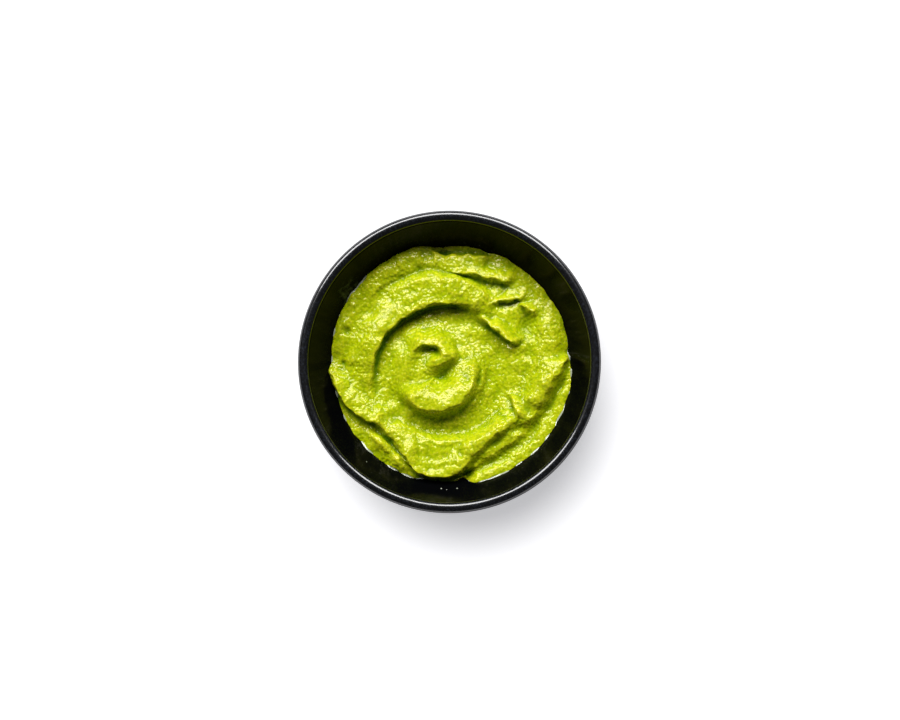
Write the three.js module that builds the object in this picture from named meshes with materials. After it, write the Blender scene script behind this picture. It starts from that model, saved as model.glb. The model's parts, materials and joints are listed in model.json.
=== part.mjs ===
// Guacamole in a small round stoneware dip bowl.
// Millimetres, +Z up. The origin is the middle of the circle that the bowl stands on.
// The dip's top is one height over each point of the plan: a level surface, a rounded mound in
// the middle and the folds that a spoon left, each a stretch of spiral with one steep side.
import * as THREE from "three";

const DEGREE = Math.PI / 180;

// The bowl
const RIM_RADIUS = 57.5;
const BEAD_RADIUS = 2.1;
const BEAD_HEIGHT = 45.9;
const BAND_FOOT = 41.5;
const FOOT_OUTER = 28;
const FOOT_INNER = 24.5;
const FOOT_BEVEL = 0.6;
const FOOT_TOP = 4;
const RECESS = 1.6;
const BELLY_RADIUS = 42;
const BELLY_HEIGHT = 13;
const BEAD_STEP_TURN = 22.5;
const BEAD_STEPS = 9;
const OUTER_STEPS = 6;
const INNER_STEPS = 11;
const BOWL_SECTORS = 64;

// The inside of the bowl is part of an ellipsoid that stands on its point
const INSIDE = { centre: 110, halfWidth: 68.15, halfHeight: 104 };
const INSIDE_TOP = 44.9;

// The dip
const GAP = 0.3;
const SECTORS = 120;
const RINGS = 32;
const UNDER_RINGS = 6;
const CONTACT_STEPS = 16;
const LEVEL = 33.6;
const EDGE_FALL = 0.8;
const EDGE_FALL_START = 36;
const EDGE_FALL_WIDTH = 11;
const SWIRL = [-3, -5];
const MOUND = [-6.5, -5.5];
const HOLLOW = [-8.5, 2];
const LIP = [2, -10];
const MOUND_RADIUS = 26;
const MOUND_RISE = 3;
const TROUGH_RADIUS = 21.5;
const TROUGH_WIDTH = 5;
const TROUGH_DEPTH = 1;
const LUMP_WAVES = 12;
const LUMP_RISE = 0.16;
const LUMP_LENGTH = 9;
const LUMP_SEED = 0.4;
const GOLDEN_ANGLE = 2.39996;
const GOLDEN_RATIO = 0.618;
const FOOT_DEPTH = 0.26;
const FOOT_WIDTH = 1.6;
const OUTWARD = 1;
const INWARD = -1;

// A fold runs round a centre from one angle to another, in degrees, and its radius is given at the
// start, half way and at the end. Its crest falls off over the steep width on the side of the cliff,
// with a shallow ditch at the cliff's foot, and over the gentle width on the other side. It fades in
// and out over two lengths.
function fold(about, angles, radii, cliff, rise, steep, gentle, fades) {
  return { about, angles, radii, cliff, rise, steep, gentle, fades };
}

const FOLDS = {
  bandCliff: fold(SWIRL, [204, 54], [28.9, 27.1, 30.2], INWARD, 4.7, 1.6, 8, [24, 15]),
  bandCrest: fold(SWIRL, [134, 50], [35.6, 38.4, 31], OUTWARD, 2.2, 2.4, 5, [22, 12]),
  upperStep: fold(SWIRL, [142, 88], [41.8, 44, 44.6], INWARD, 1.5, 2.5, 4, [14, 6]),
  topShelf: fold(SWIRL, [96, 66], [48.6, 46.9, 50.6], OUTWARD, 1.7, 1.6, 2.5, [2, 4]),
  bandJoin: fold(SWIRL, [72, 46], [31.4, 30.6, 30.4], INWARD, 1.8, 4, 4.4, [6, 6]),
  tongue: fold(SWIRL, [62, 21], [28.2, 27.2, 31], INWARD, 4.6, 1.6, 2.5, [10, 3]),
  topLedge: fold(SWIRL, [98, 52], [44.4, 41, 46.2], INWARD, 2.7, 1.6, 3.6, [12, 4]),
  topSlit: fold(SWIRL, [57, 42], [34.6, 38.1, 44.2], INWARD, 2, 1.6, 2.6, [3, 3]),
  slitKnob: fold(SWIRL, [44, 32], [41, 41.8, 42.8], INWARD, 2.2, 1.3, 1.7, [3, 3]),
  leftRim: fold(SWIRL, [176, 92], [42, 46.5, 51], OUTWARD, 2, 2.6, 4.5, [20, 10]),
  leftCliff: fold(SWIRL, [168, 224], [45.2, 38.3, 27], OUTWARD, 3.6, 1.6, 5.5, [12, 9]),
  leftLowRidge: fold(SWIRL, [212, 262], [36.5, 35, 41], INWARD, 2.4, 1.8, 2.6, [9, 8]),
  rightCrest: fold(SWIRL, [40, -24], [52.5, 40, 36.6], INWARD, 2.7, 4.4, 4, [14, 8]),
  rightCliff: fold(SWIRL, [13, -36], [50.6, 39.8, 35.6], OUTWARD, 1.9, 2.4, 4.2, [4, 8]),
  rightNotch: fold(SWIRL, [12, -10], [50.2, 43.8, 40], OUTWARD, 1.7, 1.6, 2.8, [4, 6]),
  lowerRightCliff: fold(SWIRL, [-26, -84], [34.4, 30.2, 36.4], OUTWARD, 2.5, 1.9, 3.6, [8, 7]),
  lowerCliff: fold(SWIRL, [-70, -122], [33.5, 38.8, 31], OUTWARD, 3.8, 1.6, 5.5, [8, 10]),
  lowerLeftCliff: fold(SWIRL, [-100, -154], [37, 30.9, 30.2], OUTWARD, 3, 1.6, 5, [9, 12]),
  lowerCrest: fold(SWIRL, [-10, -156], [32.4, 26.6, 27.8], INWARD, 2.3, 3.4, 4.5, [12, 26]),
  rightCurl: fold(SWIRL, [-13, -32], [27, 31, 36], INWARD, 2, 1.4, 2.4, [3, 4]),
  midRidge: fold(SWIRL, [-32, -78], [37.8, 34.8, 36.6], OUTWARD, 1.4, 1.8, 2.4, [6, 6]),
  outerRidge: fold(SWIRL, [10, -86], [49.6, 44.4, 41], INWARD, 1.6, 2.6, 3, [10, 14]),
  moundCliff: fold(MOUND, [186, 408], [10.6, 12.6, 12.4], OUTWARD, 5.2, 3, 7.6, [11, 20]),
  moundStep: fold(MOUND, [292, 408], [15.2, 15.6, 17.6], OUTWARD, 2.1, 1.6, 1.8, [9, 12]),
  moundRing: fold(MOUND, [200, 48], [12, 13.8, 15.4], INWARD, 1.5, 3, 4.5, [14, 14]),
  hollowEdge: fold(HOLLOW, [180, 2], [8.4, 6, 6.6], INWARD, 2.6, 1.6, 3.8, [8, 4]),
  curlLip: fold(LIP, [83, 158], [14.2, 12.2, 14.4], INWARD, 3.4, 2.9, 2.4, [2.5, 8]),
};

// Pits in the top: place, radius and depth
const PITS = [
  { x: -39.8, y: 12.6, radius: 1.5, depth: 1.3 },
  { x: 5.5, y: -43, radius: 2.8, depth: 3 },
  { x: 46, y: 3.2, radius: 2.2, depth: 2.4 },
  { x: -2, y: 42.8, radius: 3.2, depth: 1.2 },
  { x: -3.6, y: -6.6, radius: 4.8, depth: 2.4 },
  { x: 29, y: 14, radius: 3.6, depth: 2.1 },
  { x: -9, y: 3.6, radius: 3.4, depth: 0.9 },
];

// A curve from 0 to 1 that starts and ends level
function ease(value) {
  const t = THREE.MathUtils.clamp(value, 0, 1);
  return t * t * (3 - 2 * t);
}

// One at zero, falling to almost nothing at twice the width
function bell(distance, width) {
  return Math.exp(-((distance / width) ** 2));
}

function foldHeight({ about, angles, radii, cliff, rise, steep, gentle, fades }, x, y) {
  const dx = x - about[0];
  const dy = y - about[1];
  const middle = (angles[0] + angles[1]) / 2;
  const half = (angles[1] - angles[0]) / 2;
  const turn = THREE.MathUtils.euclideanModulo(Math.atan2(dy, dx) / DEGREE - middle + 180, 360) - 180;
  const t = THREE.MathUtils.clamp((turn / half + 1) / 2, 0, 1);
  // The radius is a parabola in t through the three given radii
  const first = 4 * radii[1] - 3 * radii[0] - radii[2];
  const second = 2 * (radii[0] + radii[2] - 2 * radii[1]);
  const radius = radii[0] + first * t + second * t * t;
  const climb = (first + 2 * second * t) / (2 * half * DEGREE);
  const length = Math.abs(2 * half * DEGREE) * radii[1];
  const strength = ease((t * length) / fades[0]) * ease(((1 - t) * length) / fades[1]);
  // The distance from the crest, corrected for how far the spiral leans from a circle
  const distance = (cliff * (Math.hypot(dx, dy) - radius)) / Math.hypot(1, climb / radius);
  const crest = distance > 0
    ? Math.exp(-((distance / (1.2 * steep)) ** 3))
    : bell(distance, gentle * (0.35 + 0.65 * strength));
  const ditch = (FOOT_DEPTH / steep) * bell(distance - 1.6 * steep - 0.8, FOOT_WIDTH);
  return rise * strength * (crest - ditch);
}

// Soft lumps: plane waves in directions a golden angle apart, of unequal lengths
function lumps(x, y) {
  let sum = 0;
  for (let k = 0; k < LUMP_WAVES; k += 1) {
    const direction = k * GOLDEN_ANGLE + LUMP_SEED;
    const length = LUMP_LENGTH * (0.6 + 0.8 * ((k * GOLDEN_RATIO + LUMP_SEED) % 1));
    const along = x * Math.cos(direction) + y * Math.sin(direction);
    sum += Math.sin((2 * Math.PI * along) / length + k * 1.9 + LUMP_SEED * 5);
  }
  return (LUMP_RISE * sum) / Math.sqrt(LUMP_WAVES / 2);
}

function dipHeight(x, y) {
  const toMound = Math.hypot(x - MOUND[0], y - MOUND[1]);
  const toTrough = Math.hypot(x - SWIRL[0], y - SWIRL[1]) - TROUGH_RADIUS;
  let z = LEVEL + lumps(x, y);
  z -= EDGE_FALL * ease((Math.hypot(x, y) - EDGE_FALL_START) / EDGE_FALL_WIDTH);
  z += MOUND_RISE * (1 - ease(toMound / MOUND_RADIUS));
  z -= TROUGH_DEPTH * bell(toTrough, TROUGH_WIDTH);
  for (const each of Object.values(FOLDS)) {
    z += foldHeight(each, x, y);
  }
  for (const pit of PITS) {
    z -= pit.depth * bell(Math.hypot(x - pit.x, y - pit.y), pit.radius);
  }
  return z;
}

// The radius of the inside wall at a height, moved inwards by a gap
function insideRadius(z, gap) {
  const down = (INSIDE.centre - z) / (INSIDE.halfHeight - gap);
  return (INSIDE.halfWidth - gap) * Math.sqrt(1 - down * down);
}

// The height of the inside wall at a radius, moved inwards by a gap
function wallHeight(r, gap) {
  const across = r / (INSIDE.halfWidth - gap);
  return INSIDE.centre - (INSIDE.halfHeight - gap) * Math.sqrt(1 - across * across);
}

function bowlGeometry() {
  const profile = [
    new THREE.Vector2(0, RECESS),
    new THREE.Vector2(FOOT_INNER - RECESS, RECESS),
    new THREE.Vector2(FOOT_INNER, 0),
    new THREE.Vector2(FOOT_OUTER - FOOT_BEVEL, 0),
    new THREE.Vector2(FOOT_OUTER, FOOT_BEVEL),
  ];
  const belly = new THREE.QuadraticBezierCurve(
    new THREE.Vector2(FOOT_OUTER, FOOT_TOP),
    new THREE.Vector2(BELLY_RADIUS, BELLY_HEIGHT),
    new THREE.Vector2(RIM_RADIUS, BAND_FOOT),
  );
  profile.push(...belly.getPoints(OUTER_STEPS));
  for (let i = 0; i <= BEAD_STEPS; i += 1) {
    const turn = BEAD_STEP_TURN * DEGREE * i;
    const r = RIM_RADIUS - BEAD_RADIUS + BEAD_RADIUS * Math.cos(turn);
    profile.push(new THREE.Vector2(r, BEAD_HEIGHT + BEAD_RADIUS * Math.sin(turn)));
  }
  const start = Math.asin((INSIDE.centre - INSIDE_TOP) / INSIDE.halfHeight);
  for (let i = 0; i < INNER_STEPS; i += 1) {
    const turn = THREE.MathUtils.lerp(start, Math.PI / 2, i / INNER_STEPS);
    const z = INSIDE.centre - INSIDE.halfHeight * Math.sin(turn);
    profile.push(new THREE.Vector2(INSIDE.halfWidth * Math.cos(turn), z));
  }
  profile.push(new THREE.Vector2(0, INSIDE.centre - INSIDE.halfHeight));
  const geometry = new THREE.LatheGeometry(profile, BOWL_SECTORS);
  geometry.rotateX(Math.PI / 2);
  return geometry;
}

// The radius at which the dip's top meets the wall, found by going half of the way between the two
function contactRadius(cosine, sine) {
  let r = insideRadius(LEVEL, GAP);
  for (let i = 0; i < CONTACT_STEPS; i += 1) {
    r = (r + insideRadius(dipHeight(r * cosine, r * sine), GAP)) / 2;
  }
  return r;
}

function dipGeometry() {
  const deepest = INSIDE.centre - INSIDE.halfHeight + GAP;
  const positions = [0, 0, dipHeight(0, 0)];
  const directions = [];
  for (let j = 0; j < SECTORS; j += 1) {
    const angle = (2 * Math.PI * j) / SECTORS;
    const direction = { cosine: Math.cos(angle), sine: Math.sin(angle) };
    direction.reach = contactRadius(direction.cosine, direction.sine);
    direction.brim = wallHeight(direction.reach, GAP);
    directions.push(direction);
  }
  for (let i = 1; i < RINGS; i += 1) {
    for (const { cosine, sine, reach } of directions) {
      const r = (reach * i) / RINGS;
      positions.push(r * cosine, r * sine, dipHeight(r * cosine, r * sine));
    }
  }
  for (const { cosine, sine, reach, brim } of directions) {
    positions.push(reach * cosine, reach * sine, brim);
  }
  for (let i = 1; i < UNDER_RINGS; i += 1) {
    for (const { cosine, sine, brim } of directions) {
      const start = Math.asin((INSIDE.centre - brim) / (INSIDE.halfHeight - GAP));
      const turn = THREE.MathUtils.lerp(start, Math.PI / 2, i / UNDER_RINGS);
      const r = (INSIDE.halfWidth - GAP) * Math.cos(turn);
      positions.push(r * cosine, r * sine, INSIDE.centre - (INSIDE.halfHeight - GAP) * Math.sin(turn));
    }
  }
  positions.push(0, 0, deepest);

  const rows = RINGS + UNDER_RINGS - 1;
  const last = 1 + rows * SECTORS;
  const brink = last - SECTORS;
  const drop = (one, other) => Math.abs(positions[3 * one + 2] - positions[3 * other + 2]);
  const indices = [];
  for (let j = 0; j < SECTORS; j += 1) {
    const next = (j + 1) % SECTORS;
    indices.push(0, 1 + j, 1 + next);
    for (let i = 0; i < rows - 1; i += 1) {
      const near = 1 + i * SECTORS;
      const far = near + SECTORS;
      // Each four-sided patch is split along the more level of its two diagonals
      if (drop(near + j, far + next) < drop(far + j, near + next)) {
        indices.push(near + j, far + j, far + next);
        indices.push(near + j, far + next, near + next);
      } else {
        indices.push(near + j, far + j, near + next);
        indices.push(far + j, far + next, near + next);
      }
    }
    indices.push(brink + j, last, brink + next);
  }
  const geometry = new THREE.BufferGeometry();
  geometry.setAttribute("position", new THREE.Float32BufferAttribute(positions, 3));
  geometry.setIndex(indices);
  geometry.computeVertexNormals();
  return geometry;
}

const glaze = new THREE.MeshStandardMaterial({ color: 0x0b0c0e, roughness: 0.3, metalness: 0 });
const mash = new THREE.MeshStandardMaterial({ color: 0xb4c017, roughness: 0.45, metalness: 0 });

const bowl = new THREE.Mesh(bowlGeometry(), glaze);
bowl.name = "bowl";
const guacamole = new THREE.Mesh(dipGeometry(), mash);
guacamole.name = "guacamole";

const dish = new THREE.Group();
dish.add(bowl, guacamole);
export default dish;
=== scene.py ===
"""Guacamole in a small black dip bowl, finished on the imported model.

Metres, +Z up, in the model's own frame. The dip and the bowl are worked out in millimetres and
written to their meshes in metres. The dip's top is one height over each point of the plan, with
the folds of the model's solid and one more, and finer clumps, spoon streaks and grain on them.
Then its crests lean out a little over their cliffs.
"""
import json
import math

import bpy
import numpy as np
from mathutils import Matrix, Vector

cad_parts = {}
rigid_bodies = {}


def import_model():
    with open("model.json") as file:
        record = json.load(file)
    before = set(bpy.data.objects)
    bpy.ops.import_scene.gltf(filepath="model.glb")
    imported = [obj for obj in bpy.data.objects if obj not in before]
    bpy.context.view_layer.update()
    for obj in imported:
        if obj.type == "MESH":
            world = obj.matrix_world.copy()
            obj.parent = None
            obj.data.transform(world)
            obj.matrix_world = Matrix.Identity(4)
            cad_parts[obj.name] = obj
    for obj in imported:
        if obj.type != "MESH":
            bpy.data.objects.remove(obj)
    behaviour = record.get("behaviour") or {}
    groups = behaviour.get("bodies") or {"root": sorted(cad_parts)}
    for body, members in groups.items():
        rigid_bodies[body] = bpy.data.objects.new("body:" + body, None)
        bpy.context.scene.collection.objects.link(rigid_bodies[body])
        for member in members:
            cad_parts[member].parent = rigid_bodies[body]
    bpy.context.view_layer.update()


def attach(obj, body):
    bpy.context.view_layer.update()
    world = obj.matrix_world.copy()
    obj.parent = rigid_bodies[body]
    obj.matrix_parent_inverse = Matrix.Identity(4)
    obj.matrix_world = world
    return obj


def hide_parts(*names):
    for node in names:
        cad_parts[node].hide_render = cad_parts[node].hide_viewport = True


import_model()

MM = 0.001

# The photograph in pixels: its size, where the rim's middle lies, and how far the rim is from it
PHOTO_WIDTH_PX = 900
PHOTO_HEIGHT_PX = 720
RIM_MIDDLE_PX = (449.0, 361.15)
RIM_REACH_PX = 151.7

# The camera: distance in metres, and how far and toward where it leans from straight above
CAMERA_DISTANCE = 0.85
CAMERA_TILT = math.radians(5)
CAMERA_TILT_TOWARD = math.radians(-60)
SENSOR_WIDTH_MM = 36

# The light, with angles in degrees: three suns side by side make the wide window, and the table
# has its own. The table reaches so far in metres, and ROOM_GLOW is how bright the room is.
WINDOW_AZIMUTHS = (66, 98, 130)
WINDOW_ELEVATION = 43
WINDOW_DISC = 26
WINDOW_STRENGTH = 1.80
TABLE_LIGHT_AZIMUTH = 112
TABLE_LIGHT_ELEVATION = 70
TABLE_LIGHT_DISC = 36
TABLE_LIGHT_STRENGTH = 3.0
ROOM_GLOW = 0.055
TABLE_REACH = 4.0

# The bowl, in millimetres
RIM_RADIUS = 57.5
BEAD_RADIUS = 2.1
BEAD_HEIGHT = 45.9
BEAD_END_ANGLE = 195.7
BAND_FOOT = 41.5
FOOT_OUTER = 28.0
FOOT_INNER = 24.5
FOOT_TOP = 4.0
FOOT_INNER_ROUND = 1.2
FOOT_OUTER_ROUND = 0.6
RECESS = 1.6
BELLY_RADIUS = 42.0
BELLY_HEIGHT = 13.0
INSIDE_CENTRE = 110.0
INSIDE_HALF_WIDTH = 68.15
INSIDE_HALF_HEIGHT = 104.0
INSIDE_TOP = 45.33
WALL_CROWDING = 1.6
BOWL_SECTORS = 240

# The dip's large forms, in millimetres
LEVEL = 33.6
EDGE_FALL = 0.8
EDGE_FALL_START = 36.0
EDGE_FALL_WIDTH = 11.0
SWIRL = (-3.0, -5.0)
MOUND = (-6.5, -5.5)
HOLLOW = (-8.5, 2.0)
LIP = (2.0, -10.0)
MOUND_RADIUS = 26.0
MOUND_RISE = 3.0
TROUGH_RADIUS = 21.5
TROUGH_WIDTH = 5.0
TROUGH_DEPTH = 1.0
OUTWARD = 1
INWARD = -1

# Folds: centre, angles from and to in degrees, radius at the start, half way and at the end,
# side of the cliff, rise, steep width, gentle width, lengths over which it fades in and out
FOLDS = {
    "band_cliff": (SWIRL, (204, 54), (28.9, 27.1, 30.2), INWARD, 4.7, 1.4, 8.0, (24, 15)),
    "band_crest": (SWIRL, (134, 50), (35.6, 38.4, 31.0), OUTWARD, 2.2, 2.4, 5.0, (22, 12)),
    "upper_step": (SWIRL, (142, 88), (41.8, 44.0, 44.6), INWARD, 1.5, 2.5, 4.0, (14, 6)),
    "top_shelf": (SWIRL, (96, 66), (48.6, 46.9, 50.6), OUTWARD, 1.7, 1.0, 2.5, (2, 4)),
    "band_join": (SWIRL, (72, 46), (31.4, 30.6, 30.4), INWARD, 1.8, 4.0, 4.4, (6, 6)),
    "tongue": (SWIRL, (62, 21), (28.2, 27.2, 31.0), INWARD, 4.6, 1.4, 2.5, (10, 3.0)),
    "top_ledge": (SWIRL, (98, 52), (44.4, 41.0, 46.2), INWARD, 2.7, 1.5, 3.6, (12, 4)),
    "top_slit": (SWIRL, (57, 42), (34.6, 38.1, 44.2), INWARD, 2.0, 0.8, 2.6, (3, 3)),
    "slit_knob": (SWIRL, (44, 32), (41.0, 41.8, 42.8), INWARD, 2.2, 1.1, 1.7, (3, 3)),
    "left_rim": (SWIRL, (176, 92), (42.0, 46.5, 51.0), OUTWARD, 2.0, 2.6, 4.5, (20, 10)),
    "left_cliff": (SWIRL, (168, 224), (45.2, 38.3, 27.0), OUTWARD, 3.6, 1.4, 5.5, (12, 9)),
    "left_low_ridge": (SWIRL, (212, 262), (36.5, 35.0, 41.0), INWARD, 2.4, 1.8, 2.6, (9, 8)),
    "right_crest": (SWIRL, (40, -24), (52.5, 40.0, 36.6), INWARD, 2.7, 4.4, 4.0, (14, 8)),
    "right_cliff": (SWIRL, (13, -36), (50.6, 39.8, 35.6), OUTWARD, 1.9, 2.4, 4.2, (4, 8)),
    "right_notch": (SWIRL, (12, -10), (50.2, 43.8, 40.0), OUTWARD, 1.7, 1.3, 2.8, (4, 6)),
    "lower_right_cliff": (SWIRL, (-26, -84), (34.4, 30.2, 36.4), OUTWARD, 2.5, 1.9, 3.6, (8, 7)),
    "lower_cliff": (SWIRL, (-70, -122), (33.5, 38.8, 31.0), OUTWARD, 3.8, 1.5, 5.5, (8, 10)),
    "lower_left_cliff": (SWIRL, (-100, -154), (37.0, 30.9, 30.2), OUTWARD, 3.0, 1.5, 5.0, (9, 12)),
    "lower_crest": (SWIRL, (-10, -156), (32.4, 26.6, 27.8), INWARD, 2.3, 3.4, 4.5, (12, 26)),
    "right_curl": (SWIRL, (-13, -32), (27.0, 31.0, 36.0), INWARD, 2.0, 1.2, 2.4, (3, 4)),
    "mid_ridge": (SWIRL, (-32, -78), (37.8, 34.8, 36.6), OUTWARD, 1.4, 1.8, 2.4, (6, 6)),
    "outer_ridge": (SWIRL, (10, -86), (49.6, 44.4, 41.0), INWARD, 1.6, 2.6, 3.0, (10, 14)),
    "mound_cliff": (MOUND, (186, 408), (10.6, 12.6, 12.4), OUTWARD, 5.2, 3.0, 7.6, (11, 20)),
    "mound_step": (MOUND, (292, 408), (15.2, 15.6, 17.6), OUTWARD, 2.1, 1.5, 1.8, (9, 12)),
    "mound_streak": (MOUND, (308, 400), (17.6, 18.4, 20.0), OUTWARD, 1.1, 1.2, 1.5, (6, 10)),
    "mound_ring": (MOUND, (200, 48), (12.0, 13.8, 15.4), INWARD, 1.5, 3.0, 4.5, (14, 14)),
    "hollow_edge": (HOLLOW, (180, 2), (8.4, 6.0, 6.6), INWARD, 2.6, 1.4, 3.8, (8, 4)),
    "curl_lip": (LIP, (83, 158), (14.2, 12.2, 14.4), INWARD, 3.4, 2.9, 2.4, (2.5, 8)),
}

# Pits: place, radius and depth
PITS = (
    (-39.8, 12.6, 1.5, 1.3),
    (-41.2, 0.4, 1.1, 1.0),
    (5.5, -43.0, 2.8, 3.0),
    (46.0, 3.2, 2.2, 2.4),
    (31.2, 19.6, 0.9, 1.6),
    (-2.0, 42.8, 3.2, 1.2),
    (-14.8, -16.2, 1.5, 1.6),
    (-3.6, -6.6, 4.8, 2.4),
    (29.0, 14.0, 3.6, 2.1),
    (-9.0, 3.6, 3.4, 0.9),
)

# How a fold's crest leans out for each millimetre of rise, the ditch at its cliff's foot, and how
# far noise moves the crest: less so round the swirl's middle, where the spoon left it smoother
OVERHANG = 0.34
LEAN_REACH = 3.0
DITCH_DEPTH = 0.26
DITCH_WIDTH = 1.6
RAGGED_EDGE = 1.0
RAGGED_REACH = 2.6
RAGGED_LENGTH = 4.6
RAGGED_FINE_LENGTH = 1.9
RAGGED_FINE_SHARE = 0.3
SMOOTHER_RADIUS = 26.0
SMOOTHER_FADE = 8.0
SMOOTHER_SHARE = 0.6

# The dip's mesh: its grid, the rings under its rim, how far its rim bites into the wall, and the
# gap below the rim. A hollow is measured against the mean height over some cells each way.
GRID_STEPS = 290
RIM_STEPS = 2400
RIM_HOLD_START = 0.93
CONTACT_ROUNDS = 14
UNDER_RINGS = 6
UNDER_DROP = 0.4
WALL_BITE = 0.1
UNDER_GAP = 0.3
HOLLOW_CELLS = 7
HOLLOW_DEPTH = 1.2

# The dip's fine forms: heights and lengths in millimetres
GOLDEN_ANGLE = 2.39996
LUMP_WAVES = 12
LUMP_RISE = 0.16
LUMP_LENGTH = 9.0
LUMP_SEED = 0.4
CLUMP_RISE = 0.24
CLUMP_LENGTH = 3.6
STREAK_RISE = 0.15
STREAK_WIDTH = 1.7
STREAK_LENGTH = 16.0
STREAK_START = 3.0
STREAK_FADE = 6.0
STREAK_MIRROR_FADE = 0.24
STREAK_WARP = 1.5
STREAK_WARP_LENGTH = 9.0
PATCH_LENGTH = 11.0
ROUGH_START = 18.0
ROUGH_FADE = 14.0
GRAIN_RISE = 0.21
GRAIN_LENGTH = 1.6
GRAIN_BEND = 0.5
GRAIN_BEND_LENGTH = 2.3
PEBBLE_SCATTER = 0.38
PEBBLE_RADIUS = 0.72
FINE_GRAIN_RISE = 0.03
FINE_GRAIN_LENGTH = 1.1

# The wet line where the dip meets the bowl: its width, where round the bowl it shows, as middle
# and half width in degrees, and its rows, as shares of its width. Those on the dip have how far
# in and how high they lie, and those on the wall how high, and their gap to it in millimetres.
WET_WIDTH = 0.5
WET_STRETCHES = ((-162, 34), (-118, 16), (-48, 34), (4, 8), (148, 12))
WET_FADE = 6
WET_BREAK_LENGTH = 5.0
WET_STEPS = 1440
WET_DIP_ROWS = ((0.9, 0.0), (0.3, 0.22))
WET_WALL_ROWS = ((0.8, 0.0), (1.0, -0.04))
WET_LIFT = 0.05
WET_SUNK = 0.3
WET_THIN = 0.2

# Drops on the bowl's inside wall: direction in degrees, height and size in millimetres. A drop is
# longer down the slope than wide, and its rings stand at shares of its height.
DROPS = ((-94, 36.4, 0.32), (-91.5, 36.9, 0.18), (-86.8, 36.2, 0.3), (-130, 38.4, 0.2))
DROP_SECTORS = 12
DROP_RINGS = (0.0, 0.5, 0.85)
DROP_LENGTH = 1.3
DROP_HEIGHT = 0.6
DROP_SUNK = 0.05

# Places in the black glaze, in metres: a smear of the dip on the inside wall, the heights between
# which the bead's speckle, partly painted sheen, begins, and the bead's dark inner side, by middle
# and half height
SMEAR_PLACE = (-0.0365, 0.0262, 0.038)
SMEAR_REACH = 0.0075
SPECKLE_FROM = 0.0465
SPECKLE_FULL = 0.0474
NECK_HEIGHT = 0.0460
NECK_REACH = 0.0007

# Colours, as red, green, blue and opacity
MASH_DULL = (0.36, 0.47, 0.0003, 1)
MASH_BRIGHT = (0.47, 0.53, 0.0006, 1)
# The next colour is painted light: a lighter, yellower mash on the crests.
MASH_CREST_PAINTED_LIGHT = (0.55, 0.565, 0.008, 1)
MASH_FLECK = (0.66, 0.66, 0.04, 1)
# The next two colours are painted shade: darker green in the hollows and in the grain's valleys.
MASH_HOLLOW_PAINTED_SHADE = (0.085, 0.19, 0.0003, 1)
MASH_VALLEY_PAINTED_SHADE = (0.10, 0.22, 0.0003, 1)
MASH_GLINT = (1.0, 0.82, 0.60, 1)
CLOUDED_WATER = (0.36, 0.39, 0.29, 1)
GLAZE_BLACK = (0.0012, 0.0013, 0.0016, 1)
# The next colour is the bead's pale bluish speckle: partly speckle in the glaze, partly painted sheen.
GLAZE_SPECKLE_SHEEN = (0.015, 0.018, 0.026, 1)
SMEAR_GREEN = (0.10, 0.13, 0.035, 1)
TABLE_WHITE = (0.85, 0.85, 0.86, 1)
TABLE_GLOW = (0.97, 0.97, 1.0, 1)
ROOM_WHITE = (0.97, 0.985, 1.0, 1)


def ease(value):
    """A curve from 0 to 1 that starts and ends level: t squared times (3 - 2t)."""
    t = np.clip(value, 0, 1)
    return t * t * (3 - 2 * t)


def bell(distance, width):
    """One at zero distance, falling off as e to the minus (distance over width) squared."""
    return np.exp(-((distance / width) ** 2))


def lattice_angle(i, j, seed):
    """A fixed, scattered angle for each lattice corner: the fraction of a large sine, as a turn."""
    mixed = np.sin(i * 127.1 + j * 311.7 + seed * 74.7) * 43758.5453
    return 2 * np.pi * (mixed - np.floor(mixed))


def gradient_noise(x, y, seed):
    """Smooth noise from about -1 to 1: each lattice corner slopes its own way, and the slopes blend."""
    i = np.floor(x)
    j = np.floor(y)
    u = x - i
    v = y - j
    blend_x = u * u * u * (u * (6 * u - 15) + 10)
    blend_y = v * v * v * (v * (6 * v - 15) + 10)
    total = np.zeros_like(x)
    for di in (0, 1):
        for dj in (0, 1):
            angle = lattice_angle(i + di, j + dj, seed)
            slope = np.cos(angle) * (u - di) + np.sin(angle) * (v - dj)
            weight_x = blend_x if di else 1 - blend_x
            weight_y = blend_y if dj else 1 - blend_y
            total += slope * weight_x * weight_y
    return total * 1.6


def pebbles(x, y, seed):
    """Round grains from 0 to 1: one at a scattered place in each lattice cell, as high as chance has it.

    Each is one less the squared distance from its middle, and the highest at a point counts.
    """
    i = np.floor(x)
    j = np.floor(y)
    highest = np.zeros_like(x)
    for di in (-1, 0, 1):
        for dj in (-1, 0, 1):
            angle = lattice_angle(i + di, j + dj, seed)
            middle_x = i + di + 0.5 + PEBBLE_SCATTER * np.cos(angle)
            middle_y = j + dj + 0.5 + PEBBLE_SCATTER * np.sin(angle)
            tall = 0.6 + 0.4 * np.cos(3 * angle)
            away = np.hypot(x - middle_x, y - middle_y) / PEBBLE_RADIUS
            highest = np.maximum(highest, tall * (1 - away * away))
    return highest


def lumps(x, y):
    """The model's soft lumps: plane waves in directions a golden angle apart, of unequal lengths."""
    total = np.zeros_like(x)
    for k in range(LUMP_WAVES):
        direction = k * GOLDEN_ANGLE + LUMP_SEED
        length = LUMP_LENGTH * (0.6 + 0.8 * ((k * 0.618 + LUMP_SEED) % 1))
        along = x * np.cos(direction) + y * np.sin(direction)
        total += np.sin(2 * np.pi * along / length + k * 1.9 + LUMP_SEED * 5)
    return LUMP_RISE * total / math.sqrt(LUMP_WAVES / 2)


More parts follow.
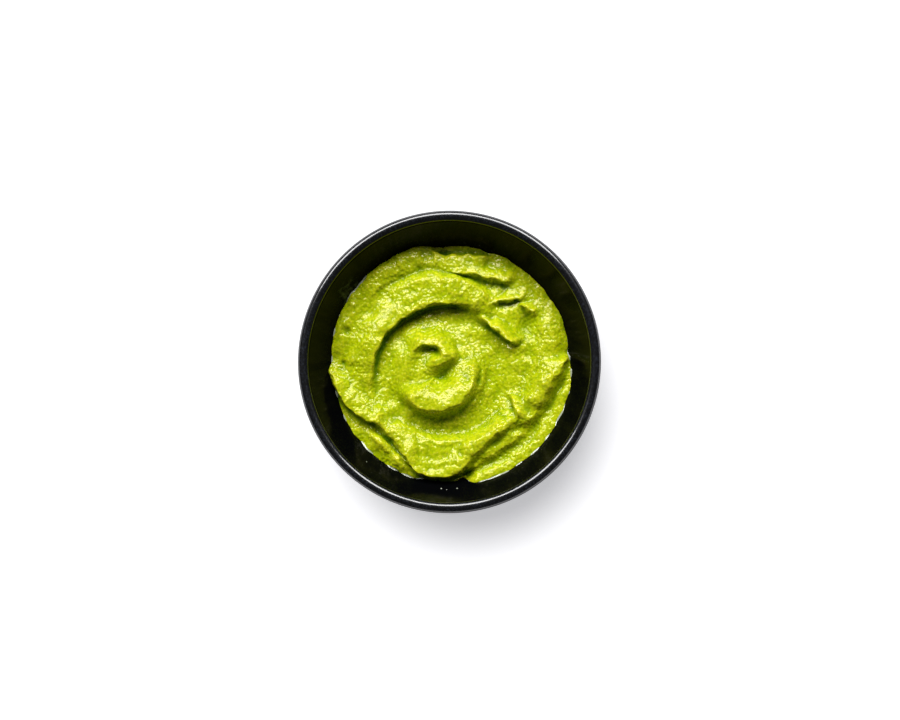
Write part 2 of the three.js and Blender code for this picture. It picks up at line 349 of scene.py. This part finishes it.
def fold_surface(fold, x, y):
    """Height and sideways lean of one fold.

    The crest is a spiral whose radius is a parabola in t, which runs from 0 to 1 along it. The
    height is a bell over the distance from the crest on the gentle side, e to the minus distance
    cubed on the cliff's side, and a shallow ditch at the cliff's foot. Noise moves the crest, more
    so far from the swirl's middle, and the crest leans out over its cliff.
    """
    about, angles, radii, cliff, rise, steep, gentle, fades = fold
    dx = x - about[0]
    dy = y - about[1]
    reach = np.maximum(np.hypot(dx, dy), 1e-6)
    middle = (angles[0] + angles[1]) / 2
    half = (angles[1] - angles[0]) / 2
    turn = (np.degrees(np.arctan2(dy, dx)) - middle + 180) % 360 - 180
    t = np.clip((turn / half + 1) / 2, 0, 1)
    first = 4 * radii[1] - 3 * radii[0] - radii[2]
    second = 2 * (radii[0] + radii[2] - 2 * radii[1])
    radius = radii[0] + first * t + second * t * t
    climb = (first + 2 * second * t) / math.radians(2 * half)
    length = abs(math.radians(2 * half)) * radii[1]
    strength = ease(t * length / fades[0]) * ease((1 - t) * length / fades[1])
    slant = np.hypot(1, climb / radius)
    distance = cliff * (reach - radius) / slant + OVERHANG * rise * strength
    ragged = gradient_noise(x / RAGGED_LENGTH, y / RAGGED_LENGTH, seed=radii[0])
    finer = gradient_noise(x / RAGGED_FINE_LENGTH, y / RAGGED_FINE_LENGTH, seed=radii[2])
    ragged = ragged + RAGGED_FINE_SHARE * finer
    from_swirl = np.hypot(x - SWIRL[0], y - SWIRL[1])
    loose = SMOOTHER_SHARE + (1 - SMOOTHER_SHARE) * ease((from_swirl - SMOOTHER_RADIUS) / SMOOTHER_FADE)
    distance = distance + RAGGED_EDGE * loose * ragged * bell(distance, RAGGED_REACH)
    wide = gentle * (0.35 + 0.65 * strength)
    fall = np.exp(-(np.maximum(distance, 0) / (1.2 * steep)) ** 3)
    height = rise * strength * np.where(distance > 0, fall, bell(distance, wide))
    ditch = bell(distance - 1.6 * steep - 0.8, DITCH_WIDTH)
    height = height - DITCH_DEPTH * rise / steep * strength * ditch
    lean = OVERHANG * rise * strength * bell(distance, np.where(distance > 0, steep, LEAN_REACH))
    out_x = dx / reach
    out_y = dy / reach
    across = climb / radius
    lean_x = cliff * lean * (out_x + across * out_y) / slant
    lean_y = cliff * lean * (out_y - across * out_x) / slant
    return height, lean_x, lean_y


def fine_relief(x, y):
    """Clumps of mash, streaks drawn along the strokes, and two sizes of grain with creased valleys.

    The streaks mirror each other across one line through the swirl, so they fade out towards it.
    """
    dx = x - SWIRL[0]
    dy = y - SWIRL[1]
    reach = np.hypot(dx, dy)
    turn = np.arctan2(dy, dx)
    along = np.abs(turn) * SMOOTHER_RADIUS
    patch = gradient_noise(x / PATCH_LENGTH, y / PATCH_LENGTH, seed=21.0)
    outer = ease((reach - ROUGH_START) / ROUGH_FADE)
    rough = (0.45 + 0.55 * outer) * (0.3 + 1.1 * ease(0.5 + 1.2 * patch))
    clumps = CLUMP_RISE * rough * gradient_noise(x / CLUMP_LENGTH, y / CLUMP_LENGTH, seed=3.0)
    warp = STREAK_WARP * gradient_noise(x / STREAK_WARP_LENGTH, y / STREAK_WARP_LENGTH, seed=8.0)
    streaks = gradient_noise((reach + warp) / STREAK_WIDTH, along / STREAK_LENGTH, seed=5.0)
    streaks = streaks * ease((reach - STREAK_START) / STREAK_FADE)
    streaks = streaks * ease(np.abs(np.sin(turn)) / STREAK_MIRROR_FADE)
    bent = GRAIN_BEND * gradient_noise(x / GRAIN_BEND_LENGTH, y / GRAIN_BEND_LENGTH, seed=13.0)
    grain = GRAIN_RISE * rough * pebbles(x / GRAIN_LENGTH + bent, y / GRAIN_LENGTH - bent, seed=11.0)
    fine = FINE_GRAIN_RISE * gradient_noise(x / FINE_GRAIN_LENGTH, y / FINE_GRAIN_LENGTH, seed=17.0)
    return clumps + STREAK_RISE * streaks + grain + fine


def dip_surface(x, y):
    """Height of the dip's top over the plan, and how far each point is leant sideways."""
    to_mound = np.hypot(x - MOUND[0], y - MOUND[1])
    to_trough = np.hypot(x - SWIRL[0], y - SWIRL[1]) - TROUGH_RADIUS
    z = LEVEL + lumps(x, y) + fine_relief(x, y)
    z = z - EDGE_FALL * ease((np.hypot(x, y) - EDGE_FALL_START) / EDGE_FALL_WIDTH)
    z = z + MOUND_RISE * (1 - ease(to_mound / MOUND_RADIUS))
    z = z - TROUGH_DEPTH * bell(to_trough, TROUGH_WIDTH)
    lean_x = np.zeros_like(x)
    lean_y = np.zeros_like(x)
    for fold in FOLDS.values():
        height, fold_x, fold_y = fold_surface(fold, x, y)
        z = z + height
        lean_x = lean_x + fold_x
        lean_y = lean_y + fold_y
    for pit_x, pit_y, width, depth in PITS:
        z = z - depth * bell(np.hypot(x - pit_x, y - pit_y), width)
    return z, lean_x, lean_y


def inside_radius(z, gap):
    """Radius of the bowl's inside wall, an ellipsoid, at a height and moved inwards by a gap."""
    down = (INSIDE_CENTRE - z) / (INSIDE_HALF_HEIGHT - gap)
    return (INSIDE_HALF_WIDTH - gap) * np.sqrt(1 - down * down)


def contact_line(angles):
    """Radius and height at which the dip's top meets the wall, found by going between the two."""
    radius = np.full_like(angles, inside_radius(LEVEL, -WALL_BITE))
    for _ in range(CONTACT_ROUNDS):
        z = dip_surface(radius * np.cos(angles), radius * np.sin(angles))[0]
        radius = 0.5 * (radius + inside_radius(z, -WALL_BITE))
    return radius, z


def disc_grid(steps):
    """A square grid bent to a unit disc: each square ring of the grid becomes a circle."""
    line = np.linspace(-1, 1, steps + 1)
    a, b = np.meshgrid(line, line)
    a_leads = np.abs(a) >= np.abs(b)
    rho = np.where(a_leads, a, b)
    other = np.where(a_leads, b, a)
    share = np.divide(other, rho, out=np.zeros_like(rho), where=rho != 0)
    turn = np.where(a_leads, share * np.pi / 4, np.pi / 2 - share * np.pi / 4)
    return rho * np.cos(turn), rho * np.sin(turn)


def box_blur(values, reach):
    """Mean over a square of the grid, as differences of running sums along both directions."""
    for axis in (0, 1):
        pad = [(0, 0), (0, 0)]
        pad[axis] = (reach + 1, reach)
        total = np.cumsum(np.pad(values, pad, mode="edge"), axis=axis)
        upper = np.take(total, np.arange(2 * reach + 1, total.shape[axis]), axis=axis)
        lower = np.take(total, np.arange(0, total.shape[axis] - 2 * reach - 1), axis=axis)
        values = (upper - lower) / (2 * reach + 1)
    return values


def new_piece(name, points_mm, faces, material):
    """A smooth mesh object at the origin from points in millimetres and faces of 3 or 4 corners."""
    mesh = bpy.data.meshes.new(name)
    mesh.from_pydata((points_mm * MM).tolist(), [], faces)
    mesh.shade_smooth()
    mesh.materials.append(material)
    piece = bpy.data.objects.new(name, mesh)
    bpy.context.scene.collection.objects.link(piece)
    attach(piece, "root")
    return piece


def grid_faces(rows, columns, closed):
    """Four-cornered faces of a grid stored by rows; a closed one joins its last column to its first."""
    across = columns if closed else columns - 1
    i, j = np.meshgrid(np.arange(rows - 1), np.arange(across), indexing="ij")
    near = i * columns + j
    near_next = i * columns + (j + 1) % columns
    return np.stack([near, near_next, near_next + columns, near + columns], axis=-1).reshape(-1, 4)


def around_axis(r, angles, z):
    """Points from their radius, direction about the Z axis and height."""
    x = r * np.cos(angles)
    y = r * np.sin(angles)
    return np.stack([x, y, np.broadcast_to(z, x.shape)], axis=-1)


def dip_top():
    """The dip's top as a disc grid, and how deep in a hollow each point lies, from 0 to 1.

    The grid is stretched to meet the wall, lifted to the dip's height, and leant with its folds.
    """
    angles = np.linspace(-np.pi, np.pi, RIM_STEPS + 1)
    reach, _ = contact_line(angles)
    disc_x, disc_y = disc_grid(GRID_STEPS)
    edge = np.interp(np.arctan2(disc_y, disc_x), angles, reach)
    x = disc_x * edge
    y = disc_y * edge
    z, lean_x, lean_y = dip_surface(x, y)
    hold = 1 - ease((np.hypot(disc_x, disc_y) - RIM_HOLD_START) / (1 - RIM_HOLD_START))
    hollow = np.clip(0.5 + 0.5 * (box_blur(z, HOLLOW_CELLS) - z) / HOLLOW_DEPTH, 0, 1)
    return np.stack([x + lean_x * hold, y + lean_y * hold, z], axis=-1).reshape(-1, 3), hollow.ravel()


def rim_walk(steps):
    """Numbers of a square grid's outermost points, once round from its first corner."""
    rising = np.arange(steps)
    falling = np.arange(steps, 0, -1)
    first = np.zeros(steps, dtype=int)
    last = np.full(steps, steps)
    rows = np.concatenate([first, rising, last, falling])
    columns = np.concatenate([rising, last, falling, first])
    return rows * (steps + 1) + columns


def under_points(rim_points):
    """Rings below the dip's rim, at even angles down the wall's ellipsoid, and its lowest point."""
    turn = np.arctan2(rim_points[:, 1], rim_points[:, 0])
    half_width = INSIDE_HALF_WIDTH - UNDER_GAP
    half_height = INSIDE_HALF_HEIGHT - UNDER_GAP
    start = np.arcsin((INSIDE_CENTRE - rim_points[:, 2] + UNDER_DROP) / half_height)
    rings = []
    for ring in range(UNDER_RINGS):
        down = start + (np.pi / 2 - start) * ring / UNDER_RINGS
        z = INSIDE_CENTRE - half_height * np.sin(down)
        rings.append(around_axis(half_width * np.cos(down), turn, z))
    rings.append(np.array([[0.0, 0.0, INSIDE_CENTRE - half_height]]))
    return np.concatenate(rings)


def guacamole_piece(material):
    """The dip: its top, and rings that follow the wall below it to one lowest point."""
    top, hollow = dip_top()
    rim = rim_walk(GRID_STEPS)
    points = np.concatenate([top, under_points(top[rim])])
    faces = grid_faces(GRID_STEPS + 1, GRID_STEPS + 1, False).tolist()
    following = np.roll(np.arange(len(rim)), -1)
    above = rim
    for ring in range(UNDER_RINGS):
        below = len(top) + ring * len(rim) + np.arange(len(rim))
        faces += np.stack([above, below, below[following], above[following]], axis=-1).tolist()
        above = below
    bottom = np.full(len(rim), len(points) - 1)
    faces += np.stack([above, bottom, above[following]], axis=-1).tolist()

    piece = new_piece("guacamole_mash", points, faces, material)
    # These hollow values drive the mash's painted shade in hollows and painted light on crests.
    values = np.full(len(points), 0.5)
    values[:len(top)] = hollow
    attribute = piece.data.attributes.new("hollow", "FLOAT", "POINT")
    attribute.data.foreach_set("value", values)
    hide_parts("guacamole")


def wet_line_piece(material):
    """A film in the corner between the dip and the wall, as wide as noise and its stretches allow.

    Its four rows of points run from the dip's top to the wall. Where it has no width they sink into
    the dip and the wall.
    """
    angles = np.linspace(-np.pi, np.pi, WET_STEPS, endpoint=False)
    reach, level = contact_line(angles)
    shown = np.zeros_like(angles)
    for middle, half in WET_STRETCHES:
        away = (np.degrees(angles) - middle + 180) % 360 - 180
        shown = np.maximum(shown, 1 - ease((np.abs(away) - half) / WET_FADE))
    corner_x = reach * np.cos(angles)
    corner_y = reach * np.sin(angles)
    broken = gradient_noise(corner_x / WET_BREAK_LENGTH, corner_y / WET_BREAK_LENGTH, seed=31.0)
    width = WET_WIDTH * shown * ease(0.35 + 1.3 * broken)
    sunk = WET_SUNK * (1 - np.clip(width / WET_THIN, 0, 1))
    rows = []
    for inward, climb in WET_DIP_ROWS:
        r = reach - inward * width
        z = dip_surface(r * np.cos(angles), r * np.sin(angles))[0] + WET_LIFT + climb * width - sunk
        rows.append(around_axis(r, angles, z))
    for climb, gap in WET_WALL_ROWS:
        z = level + climb * width
        rows.append(around_axis(inside_radius(z, gap) + sunk, angles, z))
    faces = grid_faces(len(rows), WET_STEPS, True).tolist()
    new_piece("wet_line", np.concatenate(rows), faces, material)


def drops_piece(material):
    """Drops on the wall: half balls, flattened towards the wall, that stand on its slope."""
    points = []
    faces = []
    turn = np.linspace(0, 2 * np.pi, DROP_SECTORS, endpoint=False)[:, None]
    across = np.cos(turn)
    lengthwise = np.sin(turn)
    for direction, height, size in DROPS:
        start = len(points) * (len(DROP_RINGS) * DROP_SECTORS + 1)
        down = np.arcsin((INSIDE_CENTRE - height) / INSIDE_HALF_HEIGHT)
        r = inside_radius(height, 0.0)
        slope = np.array([-INSIDE_HALF_WIDTH * np.sin(down), -INSIDE_HALF_HEIGHT * np.cos(down)])
        slope = slope / np.hypot(*slope)
        out = np.array([np.cos(math.radians(direction)), np.sin(math.radians(direction)), 0.0])
        side = np.array([-out[1], out[0], 0.0])
        along = slope[0] * out + np.array([0.0, 0.0, slope[1]])
        normal = np.cross(along, side)
        normal = normal * np.sign(-normal @ out)
        place = r * out + np.array([0.0, 0.0, height]) - DROP_SUNK * normal
        shell = []
        for lift in DROP_RINGS:
            ring = size * math.sqrt(1 - lift * lift)
            flat = ring * (across * side + lengthwise * along * DROP_LENGTH)
            shell.append(place + flat + normal * size * DROP_HEIGHT * lift)
        shell.append((place + normal * size * DROP_HEIGHT)[None, :])
        points.append(np.concatenate(shell))
        faces += (grid_faces(len(DROP_RINGS), DROP_SECTORS, True) + start).tolist()
        tip = start + len(DROP_RINGS) * DROP_SECTORS
        highest = tip - DROP_SECTORS + np.arange(DROP_SECTORS)
        tips = np.full(DROP_SECTORS, tip)
        faces += np.stack([highest, np.roll(highest, -1), tips], axis=-1).tolist()
    new_piece("wall_drops", np.concatenate(points), faces, material)


def bowl_profile():
    """Radii and heights from the underside's middle, out and up over the rim, down to the inside's.

    The foot's edges are quarter ellipses, the outside is a parabola through a control point, the
    bead is an arc, and the wall is an ellipse whose points crowd towards the rim.
    """
    foot = [(0.0, RECESS), (FOOT_INNER - 2 * FOOT_INNER_ROUND, RECESS)]
    for turn in np.linspace(0, np.pi / 2, 6):
        foot.append((FOOT_INNER - FOOT_INNER_ROUND * np.cos(turn), RECESS - RECESS * np.sin(turn)))
    corner = FOOT_OUTER - FOOT_OUTER_ROUND
    foot.append((corner, 0.0))
    for turn in np.linspace(-np.pi / 2, 0, 5)[1:]:
        foot.append((corner + FOOT_OUTER_ROUND * np.cos(turn), FOOT_OUTER_ROUND * (1 + np.sin(turn))))
    t = np.linspace(0, 1, 33)
    belly_r = (1 - t) ** 2 * FOOT_OUTER + 2 * t * (1 - t) * BELLY_RADIUS + t * t * RIM_RADIUS
    belly_z = (1 - t) ** 2 * FOOT_TOP + 2 * t * (1 - t) * BELLY_HEIGHT + t * t * BAND_FOOT
    turn = np.radians(np.linspace(0, BEAD_END_ANGLE, 37))
    bead_r = RIM_RADIUS - BEAD_RADIUS + BEAD_RADIUS * np.cos(turn)
    bead_z = BEAD_HEIGHT + BEAD_RADIUS * np.sin(turn)
    start = np.arcsin((INSIDE_CENTRE - INSIDE_TOP) / INSIDE_HALF_HEIGHT)
    turn = start + (np.pi / 2 - start) * np.linspace(0, 1, 49) ** WALL_CROWDING
    wall_r = INSIDE_HALF_WIDTH * np.cos(turn)
    wall_z = INSIDE_CENTRE - INSIDE_HALF_HEIGHT * np.sin(turn)
    r = np.concatenate([np.array(foot)[:, 0], belly_r, bead_r, wall_r])
    z = np.concatenate([np.array(foot)[:, 1], belly_z, bead_z, wall_z])
    r[-1] = 0.0
    return r, z


def bowl_piece(material):
    """The bowl: its profile turned about the Z axis, with one point at each pole."""
    r, z = bowl_profile()
    angles = np.linspace(0, 2 * np.pi, BOWL_SECTORS, endpoint=False)
    body = around_axis(r[1:-1, None], angles, z[1:-1, None])
    points = np.concatenate([body.reshape(-1, 3), [[0, 0, z[0]], [0, 0, z[-1]]]])
    rows = len(r) - 2
    faces = grid_faces(rows, BOWL_SECTORS, True).tolist()
    column = np.arange(BOWL_SECTORS)
    following = np.roll(column, -1)
    under = np.full(BOWL_SECTORS, len(points) - 2)
    inside = np.full(BOWL_SECTORS, len(points) - 1)
    last_row = (rows - 1) * BOWL_SECTORS
    faces += np.stack([under, following, column], axis=-1).tolist()
    faces += np.stack([inside, last_row + column, last_row + following], axis=-1).tolist()
    piece = new_piece("bowl_glazed", points, faces, material)
    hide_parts("bowl")


def add_node(tree, kind, inputs=None, **settings):
    """A shader node with its settings made and its inputs either set or linked."""
    node = tree.nodes.new(kind)
    for name, value in settings.items():
        setattr(node, name, value)
    for name, value in (inputs or {}).items():
        if isinstance(value, bpy.types.NodeSocket):
            tree.links.new(value, node.inputs[name])
        else:
            node.inputs[name].default_value = value
    return node


def mix_colours(tree, factor, first, second):
    """The colour between two colours, by a factor; a Mix node's colours are its sockets 6 and 7."""
    inputs = {0: factor, 6: first, 7: second}
    return add_node(tree, "ShaderNodeMix", inputs, data_type="RGBA").outputs[2]


def speckle_group():
    """Fine and coarse noise on a surface, as one mask from 0 to 1 and as a height for a bump."""
    tree = bpy.data.node_groups.new("fine speckle", "ShaderNodeTree")
    tree.interface.new_socket("Vector", in_out="INPUT", socket_type="NodeSocketVector")
    for name, value in (("Fine Scale", 1500.0), ("Coarse Scale", 300.0), ("Sharpness", 0.5)):
        socket = tree.interface.new_socket(name, in_out="INPUT", socket_type="NodeSocketFloat")
        socket.default_value = value
    tree.interface.new_socket("Mask", in_out="OUTPUT", socket_type="NodeSocketFloat")
    tree.interface.new_socket("Height", in_out="OUTPUT", socket_type="NodeSocketFloat")
    given = tree.nodes.new("NodeGroupInput").outputs
    fine_inputs = {"Vector": given["Vector"], "Scale": given["Fine Scale"], "Detail": 1.0}
    fine = add_node(tree, "ShaderNodeTexNoise", fine_inputs)
    coarse_inputs = {"Vector": given["Vector"], "Scale": given["Coarse Scale"], "Detail": 0.0}
    coarse = add_node(tree, "ShaderNodeTexNoise", coarse_inputs)
    edge_inputs = {"Value": fine.outputs[0], "From Min": given["Sharpness"], "From Max": 0.75}
    edge = add_node(tree, "ShaderNodeMapRange", edge_inputs)
    pebble_inputs = {"Vector": given["Vector"], "Scale": given["Coarse Scale"], "Smoothness": 0.3}
    pebble = add_node(tree, "ShaderNodeTexVoronoi", pebble_inputs, feature="SMOOTH_F1")
    height_inputs = {0: coarse.outputs[0], 1: pebble.outputs[0]}
    height = add_node(tree, "ShaderNodeMath", height_inputs, operation="SUBTRACT")
    result = tree.nodes.new("NodeGroupOutput")
    tree.links.new(edge.outputs[0], result.inputs["Mask"])
    tree.links.new(height.outputs[0], result.inputs["Height"])
    return tree


def new_material(name):
    """A material and its shader."""
    material = bpy.data.materials.new(name)
    material.use_nodes = True
    return material, material.node_tree.nodes["Principled BSDF"]


def place_on(tree):
    """Object coordinates of the point that a material is worked out for."""
    return tree.nodes.new("ShaderNodeTexCoord").outputs["Object"]


def speckle_on(tree, speckle, place, fine, coarse, sharpness):
    """The speckle group in a material, with its own scales and sharpness."""
    inputs = {"Vector": place, "Fine Scale": fine, "Coarse Scale": coarse, "Sharpness": sharpness}
    return add_node(tree, "ShaderNodeGroup", inputs, node_tree=speckle)


def mapped(tree, value, **ends):
    """A value carried from one range to another; an end not given is 0 for a min and 1 for a max."""
    inputs = {name.replace("_", " ").title(): end for name, end in ends.items()}
    return add_node(tree, "ShaderNodeMapRange", {"Value": value, **inputs}).outputs[0]


def combined(tree, operation, *values):
    """The result of a sum, product or other operation on values."""
    return add_node(tree, "ShaderNodeMath", dict(enumerate(values)), operation=operation).outputs[0]


def guacamole_material(speckle):
    """Wet avocado mash with pale flecks, painted light on crests and deeper green painted shade in
    hollows and valleys.

    Its gloss varies in patches, and fine wrinkles break it into glints, more in some zones.
    """
    material, shader = new_material("guacamole mash")
    tree = material.node_tree
    place = place_on(tree)
    hollow = add_node(tree, "ShaderNodeAttribute", attribute_name="hollow").outputs["Fac"]
    patch_inputs = {"Vector": place, "Scale": 90.0, "Detail": 3.0}
    patches = add_node(tree, "ShaderNodeTexNoise", patch_inputs).outputs[0]
    zone_inputs = {"Vector": place, "Scale": 62.0, "Detail": 1.0}
    zones = add_node(tree, "ShaderNodeTexNoise", zone_inputs).outputs[0]
    flecks = speckle_on(tree, speckle, place, fine=1300.0, coarse=840.0, sharpness=0.55)
    # Painted light: the crests get a lighter, yellower colour.
    crest_painted_light = mapped(tree, hollow, from_min=0.55, from_max=0.2)
    # Painted shade: the hollows get a darker green.
    sunk = mapped(tree, hollow, from_min=0.55, from_max=0.95)
    # Painted shade: the grain's valleys get a darker green.
    valley_painted_shade = mapped(tree, flecks.outputs["Height"], from_min=0.15, from_max=-0.3, to_max=0.36)
    colour = mix_colours(tree, patches, MASH_DULL, MASH_BRIGHT)
    colour = mix_colours(tree, crest_painted_light, colour, MASH_CREST_PAINTED_LIGHT)
    colour = mix_colours(tree, flecks.outputs["Mask"], colour, MASH_FLECK)
    colour = mix_colours(tree, sunk, colour, MASH_HOLLOW_PAINTED_SHADE)
    colour = mix_colours(tree, valley_painted_shade, colour, MASH_VALLEY_PAINTED_SHADE)
    wrinkled = mapped(tree, zones, from_min=0.38, from_max=0.60, to_min=0.45)
    wet_inputs = {"Height": flecks.outputs["Height"], "Strength": wrinkled, "Distance": 0.00027}
    wet = add_node(tree, "ShaderNodeBump", wet_inputs)
    tree.links.new(colour, shader.inputs["Base Color"])
    tree.links.new(mapped(tree, patches, to_min=0.08, to_max=0.26), shader.inputs["Roughness"])
    tree.links.new(wet.outputs[0], shader.inputs["Normal"])
    shader.inputs["Subsurface Weight"].default_value = 0.3
    shader.inputs["Subsurface Radius"].default_value = (0.6, 1.0, 0.1)
    shader.inputs["Subsurface Scale"].default_value = 0.0012
    shader.inputs["IOR"].default_value = 1.47
    shader.inputs["Specular Tint"].default_value = MASH_GLINT
    return material


def wet_material():
    """Pale, clouded water that has come out of the dip."""
    material, shader = new_material("clouded water")
    shader.inputs["Base Color"].default_value = CLOUDED_WATER
    shader.inputs["Roughness"].default_value = 0.12
    shader.inputs["Coat Weight"].default_value = 0.6
    return material


def glaze_material(speckle):
    """Black glaze: dark and glossy on the inside wall, satin on the rim's bead with a fine pale speckle,
    partly painted sheen.

    The outside reflects more than the inside, which sees little but the dip, and the bead's inner
    side is dark. A thin smear of the dip on the wall is noise within a distance of its middle.
    """
    material, shader = new_material("black glaze")
    tree = material.node_tree
    place = place_on(tree)
    height = add_node(tree, "ShaderNodeSeparateXYZ", {0: place}).outputs["Z"]
    bead = mapped(tree, height, from_min=SPECKLE_FROM, from_max=SPECKLE_FULL)
    grit = speckle_on(tree, speckle, place, fine=1700.0, coarse=420.0, sharpness=0.5)
    # The bead's speckle: partly the glaze's grit, partly painted sheen in a pale bluish colour.
    speckle_sheen = combined(tree, "MULTIPLY", grit.outputs["Mask"], bead)
    colour = mix_colours(tree, speckle_sheen, GLAZE_BLACK, GLAZE_SPECKLE_SHEEN)

    away_inputs = {0: place, 1: SMEAR_PLACE}
    away = add_node(tree, "ShaderNodeVectorMath", away_inputs, operation="DISTANCE").outputs["Value"]
    near = mapped(tree, away, from_min=SMEAR_REACH, from_max=0.3 * SMEAR_REACH)
    streak_inputs = {"Vector": place, "Scale": 420.0, "Detail": 3.0}
    streaks = add_node(tree, "ShaderNodeTexNoise", streak_inputs).outputs[0]
    film = mapped(tree, streaks, from_min=0.45, from_max=0.7)
    colour = mix_colours(tree, combined(tree, "MULTIPLY", film, near), colour, SMEAR_GREEN)

    strength = mapped(tree, bead, to_min=0.03, to_max=0.16)
    bump_inputs = {"Height": grit.outputs["Height"], "Strength": strength, "Distance": 0.00012}
    bump = add_node(tree, "ShaderNodeBump", bump_inputs)
    normal = tree.nodes.new("ShaderNodeNewGeometry").outputs["Normal"]
    facing = add_node(tree, "ShaderNodeSeparateXYZ", {0: normal}).outputs["Z"]
    outside = mapped(tree, facing, from_min=0.05, from_max=-0.15, to_max=0.4)
    shiny = combined(tree, "MAXIMUM", bead, outside)
    neck = combined(tree, "COMPARE", height, NECK_HEIGHT, NECK_REACH)
    tree.links.new(colour, shader.inputs["Base Color"])
    tree.links.new(mapped(tree, bead, to_min=0.14, to_max=0.26), shader.inputs["Roughness"])
    tree.links.new(bump.outputs[0], shader.inputs["Normal"])
    tree.links.new(bead, shader.inputs["Coat Weight"])
    tree.links.new(mapped(tree, shiny, to_min=1.14, to_max=1.5), shader.inputs["IOR"])
    tree.links.new(mapped(tree, neck, to_min=0.5, to_max=0.0), shader.inputs["Specular IOR Level"])
    shader.inputs["Coat Roughness"].default_value = 0.07
    return material


def pale_floor():
    """A wide white table top under the bowl."""
    material, shader = new_material("pale floor")
    shader.inputs["Base Color"].default_value = TABLE_WHITE
    shader.inputs["Roughness"].default_value = 0.8
    shader.inputs["Emission Color"].default_value = TABLE_GLOW
    shader.inputs["Emission Strength"].default_value = 0.5
    mesh = bpy.data.meshes.new("floor")
    corners = [(x * TABLE_REACH, y * TABLE_REACH, 0) for x, y in ((-1, -1), (1, -1), (1, 1), (-1, 1))]
    mesh.from_pydata(corners, [], [(0, 1, 2, 3)])
    mesh.materials.append(material)
    floor = bpy.data.objects.new("floor", mesh)
    bpy.context.scene.collection.objects.link(floor)
    return floor


def soft_sun(name, azimuth, elevation, disc, strength, lit):
    """A far light on one collection, its place and disc in degrees; a wide disc softens its shadows."""
    around = math.radians(azimuth)
    climb = math.radians(elevation)
    level = math.cos(climb)
    toward = Vector((math.cos(around) * level, math.sin(around) * level, math.sin(climb)))
    data = bpy.data.lights.new(name, "SUN")
    data.energy = strength
    data.angle = math.radians(disc)
    light = bpy.data.objects.new(name, data)
    light.rotation_euler = toward.to_track_quat("Z", "Y").to_euler()
    bpy.context.scene.collection.objects.link(light)
    light.light_linking.receiver_collection = lit


def studio_light(floor):
    """A wide window above the photograph's top edge, a dim room round it, and the table's own light."""
    on_food = bpy.data.collections.new("everything but the table")
    on_floor = bpy.data.collections.new("the table")
    on_floor.objects.link(floor)
    for piece in bpy.context.scene.objects:
        if piece.type == "MESH" and piece != floor:
            on_food.objects.link(piece)
    for azimuth in WINDOW_AZIMUTHS:
        soft_sun("window", azimuth, WINDOW_ELEVATION, WINDOW_DISC, WINDOW_STRENGTH, on_food)
    table_sun = (TABLE_LIGHT_AZIMUTH, TABLE_LIGHT_ELEVATION, TABLE_LIGHT_DISC, TABLE_LIGHT_STRENGTH)
    soft_sun("table light", *table_sun, on_floor)
    world = bpy.data.worlds.new("surround")
    bpy.context.scene.world = world
    world.use_nodes = True
    tree = world.node_tree
    seen = tree.nodes.new("ShaderNodeLightPath").outputs["Is Camera Ray"]
    background = tree.nodes["Background"]
    background.inputs["Color"].default_value = ROOM_WHITE
    tree.links.new(mapped(tree, seen, to_min=ROOM_GLOW), background.inputs["Strength"])


def photo_camera():
    """A camera that looks down on the rim's middle, leant a little toward the lower right."""
    away = Vector((
        math.cos(CAMERA_TILT_TOWARD) * math.sin(CAMERA_TILT),
        math.sin(CAMERA_TILT_TOWARD) * math.sin(CAMERA_TILT),
        math.cos(CAMERA_TILT),
    ))
    up = (Vector((0, 1, 0)) - away * away.y).normalized()
    right = up.cross(away)
    target = Vector((0, 0, BEAD_HEIGHT * MM))
    data = bpy.data.cameras.new("camera")
    view_width = PHOTO_WIDTH_PX * RIM_RADIUS * MM / RIM_REACH_PX
    data.sensor_width = SENSOR_WIDTH_MM
    data.lens = SENSOR_WIDTH_MM * CAMERA_DISTANCE / view_width
    data.shift_x = (PHOTO_WIDTH_PX / 2 - RIM_MIDDLE_PX[0]) / PHOTO_WIDTH_PX
    data.shift_y = (RIM_MIDDLE_PX[1] - PHOTO_HEIGHT_PX / 2) / PHOTO_WIDTH_PX
    camera = bpy.data.objects.new("camera", data)
    turned = Matrix((right, up, away)).transposed().to_4x4()
    camera.matrix_world = Matrix.Translation(target + away * CAMERA_DISTANCE) @ turned
    bpy.context.scene.collection.objects.link(camera)
    bpy.context.scene.camera = camera


speckle = speckle_group()
bowl_piece(glaze_material(speckle))
guacamole_piece(guacamole_material(speckle))
water = wet_material()
wet_line_piece(water)
drops_piece(water)
studio_light(pale_floor())
photo_camera()
bpy.context.scene.view_settings.view_transform = "Standard"
